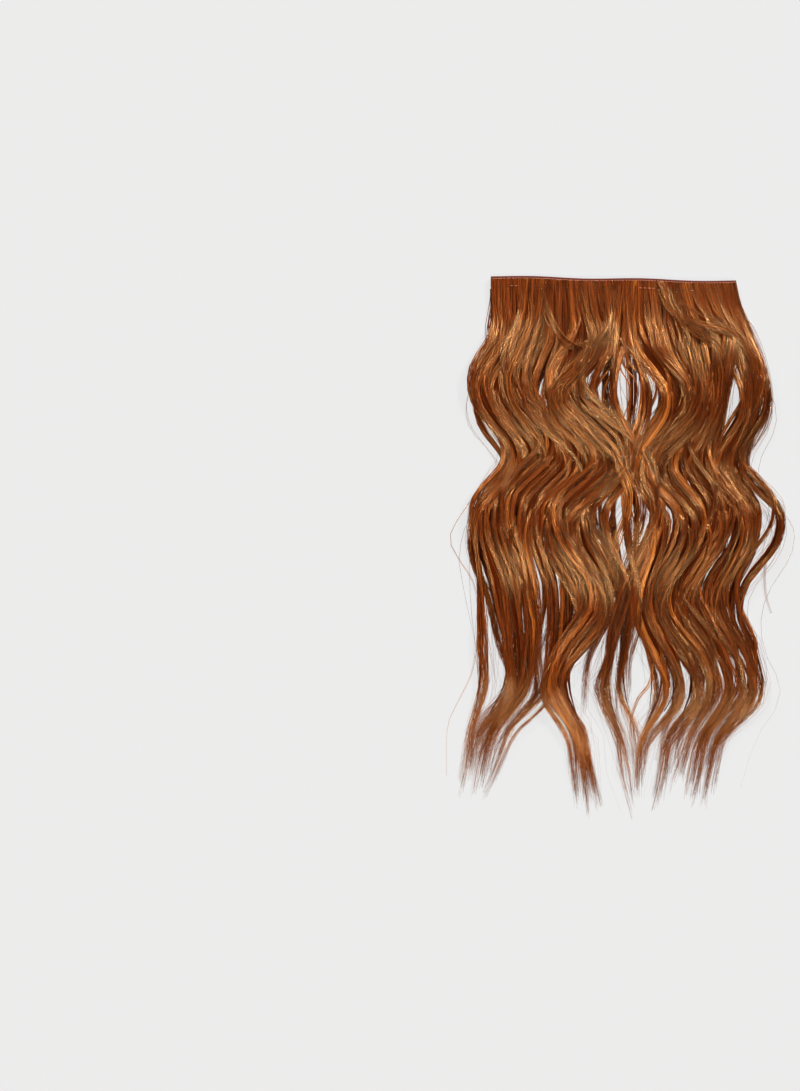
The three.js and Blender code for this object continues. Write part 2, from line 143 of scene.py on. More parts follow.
# Strands that curve by themselves: the share across, the share down and the height in mm at each point,
# then how many hairs lie together, how far apart in mm, and how thick they are as a share of a strand
CURLS = table(
    ("points", "hairs", "spread", "thick"),
    # The fan of thin locks in the middle, from left to right
    (((0.46, 0.012, 7.5), (0.47, 0.04, 8), (0.49, 0.1, 8.8), (0.505, 0.15, 9.8), (0.45, 0.19, 10),
      (0.422, 0.215, 10), (0.44, 0.24, 9), (0.5, 0.27, 7.5), (0.56, 0.31, 6)), 14, 0.9, 0.9),
    (((0.495, 0.012, 7.5), (0.5, 0.04, 8), (0.505, 0.1, 8.8), (0.515, 0.155, 9.8), (0.48, 0.195, 10),
      (0.465, 0.22, 10), (0.485, 0.25, 9), (0.54, 0.285, 7), (0.58, 0.32, 6)), 10, 0.6, 0.9),
    (((0.52, 0.012, 7.5), (0.52, 0.04, 8), (0.515, 0.1, 8.8), (0.515, 0.16, 9.8), (0.505, 0.2, 10),
      (0.5, 0.225, 10), (0.515, 0.255, 9), (0.56, 0.29, 7)), 12, 0.7, 0.9),
    (((0.54, 0.012, 7.5), (0.53, 0.05, 8), (0.525, 0.11, 8.8), (0.53, 0.16, 9.8), (0.57, 0.195, 10),
      (0.575, 0.22, 10), (0.555, 0.25, 9), (0.545, 0.28, 7)), 9, 0.5, 0.9),
    (((0.565, 0.012, 7.5), (0.55, 0.05, 8), (0.54, 0.11, 8.8), (0.545, 0.155, 9.8), (0.6, 0.19, 10),
      (0.605, 0.215, 10), (0.59, 0.245, 9), (0.56, 0.275, 7)), 8, 0.5, 0.9),
    (((0.59, 0.012, 7.5), (0.58, 0.05, 8), (0.555, 0.1, 9.2), (0.56, 0.15, 10), (0.635, 0.185, 10.5),
      (0.65, 0.21, 10.5), (0.63, 0.24, 9.5), (0.59, 0.275, 7)), 14, 0.9, 0.9),
    (((0.5, 0.07, 8.6), (0.53, 0.11, 9.8), (0.6, 0.145, 10.8), (0.66, 0.17, 11.2), (0.685, 0.2, 11.2),
      (0.66, 0.235, 10), (0.6, 0.275, 7.5), (0.58, 0.31, 6.5)), 16, 0.9, 0.9),
    # The curls left of the fan
    (((0.2, 0.012, 7.2), (0.22, 0.05, 7.6), (0.27, 0.1, 9), (0.33, 0.125, 11.5), (0.38, 0.12, 12.8),
      (0.405, 0.135, 13.4), (0.375, 0.16, 14.4), (0.31, 0.19, 15.4), (0.26, 0.215, 15.6), (0.29, 0.25, 14.4),
      (0.38, 0.29, 11.5), (0.44, 0.34, 8.5)), 30, 2.3, 0.85),
    (((0.36, 0.012, 7.4), (0.4, 0.08, 9), (0.42, 0.115, 11), (0.395, 0.15, 13), (0.33, 0.18, 15),
      (0.285, 0.21, 15.6), (0.3, 0.24, 15), (0.4, 0.28, 12.5), (0.5, 0.34, 9)), 30, 2.2, 0.85),
    (((0.16, 0.03, 7.4), (0.17, 0.08, 9), (0.12, 0.14, 13), (0.09, 0.2, 15), (0.15, 0.26, 13.5),
      (0.24, 0.32, 10), (0.25, 0.36, 8)), 18, 1.8, 0.85),
    # The crossing of the waves below the fan
    (((0.52, 0.3, 6), (0.59, 0.365, 11), (0.63, 0.405, 14), (0.63, 0.44, 14), (0.6, 0.485, 11.5),
      (0.565, 0.53, 9), (0.545, 0.58, 7)), 24, 1.8, 0.9),
    (((0.48, 0.29, 6), (0.545, 0.355, 11), (0.58, 0.395, 14), (0.575, 0.43, 14), (0.54, 0.475, 12),
      (0.515, 0.52, 9), (0.51, 0.57, 7)), 24, 1.8, 0.9),
    (((0.57, 0.315, 6), (0.66, 0.385, 11.5), (0.7, 0.42, 14.5), (0.69, 0.45, 14.5), (0.65, 0.49, 12),
      (0.62, 0.54, 9), (0.6, 0.58, 7)), 20, 1.6, 0.9),
    # The lock that sweeps over the right side from below the band
    (((0.69, 0.012, 7.2), (0.7, 0.03, 7.8), (0.74, 0.058, 8.8), (0.8, 0.076, 10), (0.88, 0.085, 10.6),
      (0.96, 0.09, 11), (1.03, 0.11, 11.6), (1.075, 0.15, 12.4), (1.095, 0.2, 12.8), (1.075, 0.26, 11),
      (1.01, 0.34, 8)), 34, 1.8, 0.85),
    (((0.72, 0.012, 7.4), (0.745, 0.05, 8.8), (0.78, 0.075, 9.8), (0.86, 0.1, 11), (0.92, 0.12, 11.8),
      (0.95, 0.15, 12.8), (0.955, 0.2, 13.6), (0.935, 0.26, 12.5), (0.88, 0.32, 9)), 28, 1.9, 0.85),
    (((0.76, 0.012, 7.2), (0.77, 0.06, 8.4), (0.8, 0.11, 11), (0.83, 0.16, 13.5), (0.84, 0.2, 14.8),
      (0.8, 0.25, 14), (0.72, 0.3, 11), (0.66, 0.35, 8)), 24, 2.0, 0.85),
    # The sheer bundle outside the right edge
    (((0.985, 0.02, 6.8), (1.0, 0.06, 6.9), (1.05, 0.08, 7), (1.09, 0.12, 8), (1.125, 0.17, 9),
      (1.145, 0.22, 9), (1.135, 0.26, 8), (1.09, 0.3, 7.5), (1.03, 0.345, 7)), 22, 1.2, 0.5),
    # The few strands that lie by themselves
    (((0.03, 0.34, 7), (-0.051, 0.404, 6), (-0.126, 0.458, 3), (-0.145, 0.486, 1.5), (-0.103, 0.522, 1),
      (-0.04, 0.568, 1), (-0.02, 0.632, 1), (-0.041, 0.724, 1), (-0.091, 0.777, 1), (-0.138, 0.827, 1),
      (-0.138, 0.919, 0.8)), 2, 0.5, 0.5),
    (((1.04, 0.33, 8.5), (1.11, 0.36, 9), (1.185, 0.41, 7), (1.19, 0.46, 4), (1.15, 0.507, 2),
      (1.143, 0.54, 1.5), (1.153, 0.579, 1), (1.175, 0.608, 0.8)), 9, 0.7, 0.5),
    (((1.03, 0.33, 13.5), (1.025, 0.365, 14), (1.014, 0.387, 14.5), (0.962, 0.413, 15), (0.873, 0.427, 15),
      (0.832, 0.427, 14)), 2, 0.3, 0.5),
    (((0.53, 0.62, 8), (0.553, 0.72, 4), (0.553, 0.76, 2), (0.555, 0.803, 1), (0.61, 0.848, 1)), 3, 0.5, 0.5),
    (((0.71, 0.66, 8), (0.683, 0.741, 4), (0.639, 0.774, 2), (0.613, 0.813, 1), (0.614, 0.848, 1),
      (0.624, 0.877, 1)), 10, 0.8, 0.5),
    (((0.5, 0.02, 7.7), (0.51, 0.045, 8.6), (0.54, 0.06, 9), (0.545, 0.09, 9), (0.5, 0.14, 10),
      (0.47, 0.15, 10.5)), 3, 0.5, 0.5),
    (((0.14, 0.06, 7.6), (0.142, 0.09, 8.4), (0.15, 0.105, 9), (0.16, 0.1, 9.2), (0.155, 0.094, 9)),
     2, 0.3, 0.5),
)

# Where a layer's hair starts below the edge, and how high it lies over and just below the band, in mm
ROOT_ROWS = {
    "over": table(("depth", "height"), (1.5, 6.6), (8.0, 6.7), (16.0, 6.6)),
    "under": table(("depth", "height"), (7.8, 4.4), (12.0, 4.3), (16.0, 4.3)),
}

# A lock's roots: their thickness in mm, and how far they lean across to the neck as a share of the way.
# TIP_REACH is the least share of the hair's length between a lock's last turn and its tip. ROUNDING
# spreads the turns of the waves. The roots come free of the band between FREE_DEPTHS, in mm.
ROOT_THICKNESS = 1.7
ROOT_LEAN = 0.3
TIP_REACH = 0.04
ROUNDING = 0.22
FREE_DEPTHS = (3, 48)

# Points along a strand, an inner tube and a stitch. Those of a lock are shared out by how far it turns
# and runs: STEP_ANGLE of turning counts like STEP_LENGTH of running, in mm. The second point lies CAP_RING
# from the first, in mm. A lock is measured at MEASURED_POINTS, to LOOK_AHEAD mm past its end.
STRAND_POINTS = 30
CORE_POINTS = 42
STITCH_POINTS = 6
MEASURED_POINTS = 500
STEP_ANGLE = math.radians(12)
STEP_LENGTH = 20
CAP_RING = 0.3
LOOK_AHEAD = 25

# The wisps that a lock's strands keep together in. A place is a share of the lock's half width or half
# thickness, and a lag is a share of the hair's length.
LEAST_WISPS = 3
WISP_STRAY = 0.35
WISP_LEVELS = (-0.7, 1)
WISP_TONES = 0.14
WISP_LAG = 0.016
WISP_TWIST = 1.8
WISP_SHORTENING = 0.05
LOCK_LAG = 0.018
ROLL = 0.55
ROLLS = 1.7
ROLL_NARROWING = 0.5
ROLL_LIFTING = 0.7

# The single strands: how far they mix at the roots and lie off their wisp's middle, how much shorter
# some are, their tones, which change from the top of a strand round to its underside, their thickness
# against the mean and at the roots, and the lowest that they lie, in mm
ROOT_MIXING = 0.12
STRAND_STRAY = 1.1
STRAND_LEVELS = 0.4
TWIST_LIFTING = 0.6
RAGGED = 0.22
RAGGED_SPREAD = (1.0, 2.6)
MIDDLE_TONE = 0.45
STRAND_TONES = 0.13
TONE_ROUND_STRAND = 0.12
STRAND_SIZES = (0.65, 1.25)
ROOT_FINENESS = 0.85
LOWEST = 0.5

# What comes on along the hair: how much, and from where to where as shares of the length
WISP_GATHERING = (0.4, 0.12, 0.3)
TIP_GATHERING = (0.15, 0.7, 0.97)
TIP_NARROWING = (0.5, 0.62, 1.0)
TIP_THINNING = (0.82, 0.62, 1.0)
TIP_FRAYING = (1.0, 0.74, 1.0)
TIP_SWAY = (1.3, 0.6, 0.85)
TIP_RISE = (0.9, 0.6, 0.8)
SWAY_PITCH = 0.17

# The last wave turns late and sharply, then swings back: its size in mm, then shares of the length
LATE_TURN = 4.8
LATE_TURN_COMES = (0.66, 0.74)
LATE_TURN_GOES = (0.8, 0.92)
LATE_TURN_START = 0.705
LATE_TURN_PITCH = 0.22
FULL_LATE_TURN = 0.05

# The small waves of a strand beside its lock's middle: their size in mm, how many there are along the
# hair, and which of its wisp's or its own two phases they start at
WAVES = table(
    ("size", "number", "whose", "phase"),
    (0.9, 2.3, "wisp", 0),
    (0.6, 5.1, "wisp", 1),
    (0.22, 4.3, "own", 0),
    (0.08, 11.7, "own", 1),
)

# The inner tubes: where they start in mm and end as a share of a lock, how deep they lie, their width
# and thickness against the lock's, and how they close. They meet above CORE_MEETING_DEPTHS, in mm.
CORE_SIDES = 10
CORE_START = 0.6
CORE_REACH = 0.84
CORE_SINK = 0.7
CORE_WIDTH = 0.72
CORE_THICKNESS = 0.35
CORE_CLOSING = (0.9, 0.6, 0.84)
CORE_MEETING = 0.4
CORE_MEETING_DEPTHS = (14, 44)
CORE_TONES = 0.9

# The flyaways: how far they drift in mm, the waves that they drift in, how far that lifts them, their
# thickness against a strand's, and the lowest that they lie, in mm
LOOSE_DRIFT = (4.5, 0.03, 0.5)
LOOSE_WAVE = 0.6
LOOSE_WAVES = 3.1
LOOSE_LIFT = 0.15
LOOSE_LIFT_TURN = 9
LOOSE_THICKNESS = 0.42
LOOSE_LOWEST = 0.4

# The hairs of a curl: how far along it the second point lies, their tones, how they wander, how wide the
# curl is at its ends, how thick, and how they taper, each against the size in its row
CURL_CAP = 0.002
CURL_TONES = (0.35, 0.7)
CURL_HAIR_TONES = 0.2
CURL_WANDER = 0.4
CURL_WANDER_TURN = (6, 14)
CURL_WANDER_PHASE = (0, 6)
CURL_END_WIDTH = 0.45
CURL_THICKNESS = 0.5
CURL_START_FINENESS = 0.3
CURL_START = (0.7, 0, 0.12)
CURL_THINNING = (0.75, 0.55, 1)

# The threads: how far a row lies below the top edge or above the lower one, how high, and its radius, in
# mm, where it begins and ends, and the least and the greatest length of a stitch, as shares of the width
EDGE_THREAD = {"drop": 1.45, "height": 7.3, "radius": 0.2, "ends": (0.004, 0.988),
               "length": (0.006, 0.0095)}
EDGE_STITCHES = 86
EDGE_STRAY = 0.001
LOW_STITCHES = {"rise": 0.4, "height": 7.45, "radius": 0.19, "ends": (0.01, 0.98),
                "length": (0.008, 0.013)}
LOW_STITCH_PITCH = 0.0175
PALE_STITCHES = ((0.07, 0.11), (0.6, 0.66), (0.815, 0.83))
STITCH_SIDES = 6
STITCH_ARCH = 1.3

# The strands' looks: how much and how finely their tone drifts, where the four colours of HairSettings
# lie in it, and what comes on or goes along the hair
STRAND_IOR = 2.0
TONE_DRIFT = 0.4
DRIFT_ACROSS = 91
DRIFT_ALONG = 7
TONE_STOPS = (0.0, 0.4, 0.75, 1.0)
TIP_LIGHTENING = (0.3, 0.65, 0.95)
ROOT_TINTING = (0.3, 0.02, 0.2)
TIP_TINTING = (0.4, 0.7, 1.0)

# The Mix node's sockets for colours: its two inputs and its output
FIRST_COLOUR, SECOND_COLOUR, MIXED_COLOUR = 6, 7, 2

# The stage: the floor's half width in metres, the suns' size, the camera's lens and sensor in mm
FLOOR_HALF = 6.0
SUN_SIZE = math.radians(7)
LENS = 85
SENSOR = 36
VIEW_GAMMA = 0.8


def linear(red, green, blue):
    """An sRGB colour of 0 to 255 as Blender's linear one."""
    def straighten(value):
        value /= 255
        return value / 12.92 if value <= 0.04045 else ((value + 0.055) / 1.055) ** 2.4
    return tuple(straighten(value) for value in (red, green, blue))


def colour(name, description, *rgb):
    """A colour that a user can change, given as an sRGB one of 0 to 255."""
    return FloatVectorProperty(name=name, description=description, subtype="COLOR", default=linear(*rgb))


class HairSettings(bpy.types.PropertyGroup):
    """The number, the size and the colours of the strands."""

    over_strands: IntProperty(name="Upper strands", description="Strands in the upper layer", default=3240)
    under_strands: IntProperty(name="Lower strands", description="Strands in the lower layer", default=1300)
    flyaways: IntProperty(name="Flyaways", description="Thin single strands off the locks", default=310)
    strand_radius: FloatProperty(name="Strand radius", description="Radius of a modelled strand",
                                 default=0.225 * MM, unit="LENGTH", precision=5)
    wisp_strands: IntProperty(name="Strands in a wisp", description="How many strands keep together",
                              default=30)
    shadow: colour("Dark strand", "Colour of the darkest strands", 54, 16, 2)
    brown: colour("Brown strand", "Colour of most strands", 112, 46, 9)
    copper: colour("Copper strand", "Colour of the lighter strands", 158, 82, 24)
    honey: colour("Honey strand", "Colour of the palest strands", 212, 144, 68)
    root: colour("Root tint", "Colour that the strands tend to near the band", 112, 44, 8)
    tip_tint: colour("Tip tint", "Colour that the strands tend to near the tips", 196, 112, 38)
    gloss: colour("Gloss", "Colour of the gloss on the hair", 255, 210, 148)


class BandSettings(bpy.types.PropertyGroup):
    """The colours of the sewn band, its threads and its clips."""

    tape: colour("Tape", "Colour of the woven band", 72, 40, 26)
    seam: colour("Seam", "Colour of the rolled seam", 112, 50, 32)
    thread: colour("Thread", "Colour of the sewing thread", 214, 160, 140)
    stitch: colour("Stitch", "Colour of the brown stitches", 92, 44, 18)
    clip: colour("Clip", "Colour of the clips' lacquer", 48, 28, 20)


class StageSettings(bpy.types.PropertyGroup):
    """The floor and the lights."""

    floor: colour("Floor", "Colour of the floor", 234, 234, 234)
    glow: FloatProperty(name="Floor glow", description="How brightly the lit studio floor shines itself",
                        default=0.94)
    key: FloatProperty(name="Key light", default=2.15,
                       description="Strength of the light from beyond the band's left end")
    fill: FloatProperty(name="Fill light", default=3.5,
                        description="Strength of the light from beyond the band's right end")
    back: FloatProperty(name="Back light", description="Strength of the light from beyond the tips",
                        default=1.65)
    sky: FloatProperty(name="Surroundings", description="Strength of the even light from all round",
                       default=0.08)
    sky_colour: colour("Surroundings' colour", "Colour of the even light", 255, 208, 160)


class Value:
    """A node's output that takes Python's arithmetic and adds the Math nodes for it."""

    def __init__(self, shader, socket):
        self.shader = shader
        self.socket = socket

    def math(self, operation, first, second):
        return self.shader.node("ShaderNodeMath", {"operation": operation}, {0: first, 1: second})

    def __add__(self, other):
        return self.math("ADD", self, other)

    def __sub__(self, other):
        return self.math("SUBTRACT", self, other)

    def __mul__(self, other):
        return self.math("MULTIPLY", self, other)

    def __rsub__(self, other):
        return self.math("SUBTRACT", other, self)

    __radd__ = __add__
    __rmul__ = __mul__

    def ramp(self, low, high):
        """0 below low, 1 above high, and a smooth rise between."""
        return self.shader.node("ShaderNodeMapRange", {"clamp": True, "interpolation_type": "SMOOTHSTEP"},
                                {"Value": self, "From Min": low, "From Max": high})

    def grown(self, amount, low, high):
        """An amount that comes on smoothly from low to high."""
        return self.ramp(low, high) * amount


class Shader:
    """One material with a Principled surface."""

    def __init__(self, name, roughness=0.5, specular=0.5, metallic=0.0):
        self.material = bpy.data.materials.new(name)
        self.material.use_nodes = True
        self.nodes = self.material.node_tree.nodes
        self.links = self.material.node_tree.links
        self.nodes.clear()
        surface = self.node("ShaderNodeBsdfPrincipled", None, {
            "Roughness": roughness, "Specular IOR Level": specular, "Metallic": metallic})
        self.node("ShaderNodeOutputMaterial", None, {"Surface": surface}, output=None)
        self.surface = surface.socket.node

    def node(self, kind, settings=None, inputs=None, output=0):
        """Adds a node, sets its settings, then the values or links of its sockets, and gives its output."""
        node = self.nodes.new(kind)
        for name, value in (settings or {}).items():
            if name == "stops":
                self.set_stops(node.color_ramp, value)
            else:
                setattr(node, name, value)
        for name, value in (inputs or {}).items():
            self.put(node.inputs[name], value)
        return None if output is None else Value(self, node.outputs[output])

    def set_stops(self, ramp, stops):
        while len(ramp.elements) < len(stops):
            ramp.elements.new(1.0)
        for element, (position, colour) in zip(ramp.elements, stops):
            element.position = position
            element.color = (*colour, 1.0)

    def put(self, socket, value):
        """Links a value to a socket, or sets the socket to a constant."""
        if isinstance(value, Value):
            self.links.new(value.socket, socket)
        elif socket.type == "RGBA":
            socket.default_value = (*value, 1.0) if len(value) == 3 else value
        else:
            socket.default_value = value

    def feed(self, name, value):
        self.put(self.surface.inputs[name], value)

    def object_place(self):
        return self.node("ShaderNodeTexCoord", output="Object")

    def mix(self, factor, first, second):
        """The first colour where factor is 0, and the second where it is 1."""
        return self.node("ShaderNodeMix", {"data_type": "RGBA"},
                         {0: factor, FIRST_COLOUR: first, SECOND_COLOUR: second}, output=MIXED_COLOUR)

    def bump(self, height, distance, strength):
        self.feed("Normal", self.node("ShaderNodeBump", None, {
            "Height": height, "Distance": distance, "Strength": strength}))


def settings(context):
    scene = context.scene
    return scene.extension_hair, scene.extension_band, scene.extension_stage


def finish_piece(obj, material, slot, *replaced):
    """Gives a piece its material and lets it ride on the one body; slot is not used."""
    obj.data.materials.clear()
    obj.data.materials.append(material)
    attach(obj, "root")
    if replaced:
        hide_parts(*replaced)
    return obj


def dress_node(name, material):
    """Gives a CAD node its material."""
    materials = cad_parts[name].data.materials
    materials.clear()
    materials.append(material)


def darker(colour, share):
    return tuple(share * channel for channel in colour)


def across(share):
    """The x of a share of the band's width from its left end."""
    return BAND_LEFT + share * WEFT_WIDTH


def edge_wave(x):
    """The wave of the sewn edge at x."""
    return EDGE_WAVE * np.sin(2 * np.pi * (x - BAND_MIDDLE) / EDGE_WAVE_PITCH)


def smooth_curve(places, values, at, rounding=0.0):
    """A smooth curve through values at places, with the slope of each place's neighbours.

    Rounding spreads its turns, so that they come nearer to arcs with a straighter run between them.
    """
    places, values = np.asarray(places, float), np.asarray(values, float)
    slopes = np.empty_like(values)
    slopes[1:-1] = (values[2:] - values[:-2]) / (places[2:] - places[:-2])
    slopes[0] = (values[1] - values[0]) / (places[1] - places[0])
    slopes[-1] = (values[-1] - values[-2]) / (places[-1] - places[-2])
    i = np.clip(np.searchsorted(places, at) - 1, 0, len(places) - 2)
    span = places[i + 1] - places[i]
    t = np.clip((at - places[i]) / span, 0, 1)
    t = t - rounding * np.sin(2 * np.pi * t) / (2 * np.pi)
    return ((2 * t**3 - 3 * t**2 + 1) * values[i] + (t**3 - 2 * t**2 + t) * span * slopes[i]
            + (3 * t**2 - 2 * t**3) * values[i + 1] + (t**3 - t**2) * span * slopes[i + 1])


def smooth_step(value, low, high):
    t = np.clip((value - low) / (high - low), 0, 1)
    return t * t * (3 - 2 * t)


def grown(share, amount, low, high):
    """An amount that comes on smoothly from low to high."""
    return amount * smooth_step(share, low, high)


def freedom(depth):
    """0 where the hair is sewn down, and 1 where it falls free."""
    low, high = FREE_DEPTHS
    return smooth_step(depth, low * MM, high * MM)


class Lock:
    """One lock's middle, width and thickness at any depth, worked out from its row."""

    def __init__(self, row, root_left, root_right):
        roots = ROOT_ROWS[row["layer"]]
        falling = [turn for turn in TURNS[:-1] if turn["depth"] < row["end"] - TIP_REACH]
        depths = [turn["depth"] * HAIR_LENGTH for turn in falling]
        self.row = row
        self.end = row["end"] * HAIR_LENGTH
        self.start = roots[0]["depth"] * MM
        root_x = across((root_left + root_right) / 2)
        sewn_x = root_x + ROOT_LEAN * (across(row["neck"]) - root_x)
        sewn_depth = roots[-1]["depth"] * MM
        self.x_depths = [self.start, sewn_depth, *depths, self.end]
        self.xs = [root_x, sewn_x, *[across(row[turn["at"]]) for turn in falling], across(row["tip"])]
        tip = TURNS[-1]
        self.z_depths = [each["depth"] * MM for each in roots] + depths + [self.end]
        self.zs = [each["height"] * MM for each in roots]
        self.zs += [(turn[row["layer"]] + row["lift"]) * MM for turn in falling]
        self.zs += [tip[row["layer"]] * MM]
        full = row["width"] * WEFT_WIDTH / 2
        root_half = (root_right - root_left) * WEFT_WIDTH / 2
        self.halves = [root_half, root_half, *[turn["width"] * full for turn in falling + [tip]]]
        self.thicks = [ROOT_THICKNESS * MM / 2] * 2
        self.thicks += [turn["thickness"] * MM / 2 for turn in falling + [tip]]

    def middle_x(self, depth):
        return smooth_curve(self.x_depths, self.xs, depth, ROUNDING)

    def lean(self, depth):
        """How far the middle moves across for each metre down."""
        step = 0.5 * MM
        return (self.middle_x(depth + step) - self.middle_x(depth - step)) / (2 * step)

    def height(self, depth):
        return smooth_curve(self.z_depths, self.zs, depth)

    def half_width(self, depth):
        return smooth_curve(self.x_depths, self.halves, depth)

    def half_thickness(self, depth):
        return np.interp(depth, self.x_depths, self.thicks)

    def depths(self, ends, count):
        """Depths from the root to each end, closer together where the lock turns.

        The second lies right after the first, so that the slant of the cap's normals stays off the strand.
        """
        depth = np.linspace(self.start, self.end + LOOK_AHEAD * MM, MEASURED_POINTS)
        turning = np.abs(np.diff(np.arctan(self.lean(depth)))) / STEP_ANGLE
        running = np.hypot(np.diff(depth), np.diff(self.middle_x(depth))) / (STEP_LENGTH * MM)
        measure = np.concatenate([[0], np.cumsum(turning + running)])
        even = np.interp(ends, depth, measure) * np.linspace(0, 1, count - 1)
        return np.insert(np.interp(even, measure, depth), 1, self.start + CAP_RING * MM, axis=1)


def make_locks(layer):
    """The layer's locks, with their roots side by side along the whole band."""
    rows = sorted((row for row in LOCKS if row["layer"] == layer), key=lambda row: row["root"])
    total = sum(row["width"] for row in rows)
    left, locks = 0.0, []
    for row in rows:
        right = left + row["width"] / total
        locks.append(Lock(row, left, right))
        left = right
    return locks


class Strands:
    """What the strands of a lock draw at random, wisp by wisp, as one row for each strand.

    A place is a share of the lock's half width (u) or half thickness (v) from its middle.
    """

    def __init__(self, lock, count, wisp_strands, random):
        circle = 2 * np.pi
        wisps = max(LEAST_WISPS, round(count / wisp_strands))
        wisp_u = (np.arange(wisps) + 0.5) / wisps * 2 - 1 + random.normal(0, WISP_STRAY / wisps, wisps)
        wisp_v = random.uniform(*WISP_LEVELS, wisps)
        wisp_tone = random.normal(0, WISP_TONES, wisps)
        wisp_lag = random.normal(0, WISP_LAG, wisps) * HAIR_LENGTH
        wisp_phase = random.uniform(0, circle, (wisps, 3))
        wisp_twist = random.uniform(-WISP_TWIST, WISP_TWIST, wisps)
        wisp_end = 1 - np.abs(random.normal(0, WISP_SHORTENING, wisps))
        self.lock = lock
        self.lock_phase = random.uniform(0, circle)
        self.lock_lag = random.normal(0, LOCK_LAG) * HAIR_LENGTH
        wisp = random.integers(0, wisps, count)[:, None]
        mixed = wisp_u[wisp] + random.normal(0, ROOT_MIXING, (count, 1))
        self.root_u = (np.argsort(np.argsort(mixed, axis=0), axis=0) + 0.5) / count * 2 - 1
        self.root_v = random.uniform(-1, 1, (count, 1))
        stray = STRAND_STRAY / wisps
        self.own_u = np.clip(random.normal(0, stray, (count, 1)), -2 * stray, 2 * stray)
        self.own_v = random.normal(0, STRAND_LEVELS, (count, 1))
        ragged = 1 - RAGGED * random.beta(*RAGGED_SPREAD, (count, 1))
        own_phase = random.uniform(0, circle, (count, 2))
        self.fray = random.normal(0, 1, (count, 1))
        self.tone = np.clip(MIDDLE_TONE + wisp_tone[wisp[:, 0]] + random.normal(0, STRAND_TONES, count), 0, 1)
        self.wisp_u, self.wisp_v, self.lag, self.twist = (
            each[wisp] for each in (wisp_u, wisp_v, wisp_lag, wisp_twist))
        self.phases = {"wisp": wisp_phase[wisp[:, 0]], "own": own_phase}
        self.end = lock.start + (lock.end - lock.start) * wisp_end[wisp] * ragged

    def places(self, depth, down):
        """How far each strand lies beside and above the lock's middle, in metres.

        The wisps roll over each other inside the lock, and the strands twist inside each wisp.
        """
        share, fall = depth / HAIR_LENGTH, freedom(depth)
        half_width, half_thickness = self.lock.half_width(depth), self.lock.half_thickness(depth)
        roll = ROLL * np.sin(2 * np.pi * ROLLS * share + self.lock_phase)
        middle_u = self.wisp_u * np.cos(roll) - ROLL_NARROWING * self.wisp_v * np.sin(roll)
        middle_v = self.wisp_v * np.cos(roll) + ROLL_LIFTING * self.wisp_u * np.sin(roll)
        gather = grown(share, *WISP_GATHERING) + grown(down, *TIP_GATHERING)
        beside = self.own_u * half_width * (1 - gather)
        above = self.own_v * half_thickness
        twist = 2 * np.pi * self.twist * share + self.phases["wisp"][:, 2:]
        offset = middle_u * half_width * (1 - grown(down, *TIP_NARROWING))
        offset = offset + beside * np.cos(twist) - above * np.sin(twist)
        lift = middle_v * half_thickness + TWIST_LIFTING * beside * np.sin(twist) + above * np.cos(twist)
        return (self.root_u * half_width * (1 - fall) + offset * fall,
                self.root_v * half_thickness * (1 - fall) + lift * fall)

    def wander(self, share, down):
        """How far each strand strays sideways from its place in the lock, in mm."""
        row = self.lock.row
        late = np.clip((row["bulge3"] - row["tip"]) / FULL_LATE_TURN, -1, 1)
        curl = smooth_step(share, *LATE_TURN_COMES) * (1 - smooth_step(share, *LATE_TURN_GOES))
        wander = LATE_TURN * late * curl * np.sin(2 * np.pi * (share - LATE_TURN_START) / LATE_TURN_PITCH)
        wander += grown(share, *TIP_SWAY) * np.sin(2 * np.pi * share / SWAY_PITCH + self.lock_phase)
        wander += self.fray * grown(down, *TIP_FRAYING)
        for wave in WAVES:
            phase = self.phases[wave["whose"]][:, wave["phase"]][:, None]
            wander += wave["size"] * np.sin(2 * np.pi * wave["number"] * share + phase)
        return wander


def strand_paths(lock, count, wisp_strands, random):
    """The middles, radius shares, tones and length shares of count strands in a lock."""
    strands = Strands(lock, count, wisp_strands, random)
    depth = lock.depths(strands.end + strands.lag, STRAND_POINTS)
    depth = depth - freedom(depth) * strands.lag
    fall = freedom(depth)
    down = (depth - lock.start) / (strands.end - lock.start)
    share = depth / HAIR_LENGTH
    lagged = depth + fall * strands.lag
    offset, lift = strands.places(depth, down)
    offset = offset + fall * strands.wander(share, down) * MM
    lean = lock.lean(lagged)
    norm = np.hypot(1, lean)
    x = lock.middle_x(lagged) + offset / norm
    y = EDGE_Y - depth + offset * lean / norm + (1 - fall) * edge_wave(x)
    rise = grown(share, *TIP_RISE) * MM * np.cos(2 * np.pi * share / SWAY_PITCH + strands.lock_phase)
    z = np.maximum(lock.height(lagged + fall * strands.lock_lag) + lift + rise, LOWEST * MM)
    radii = (ROOT_FINENESS + (1 - ROOT_FINENESS) * fall) * (1 - grown(down, *TIP_THINNING))
    return np.stack([x, y, z], axis=2), radii, strands.tone, share


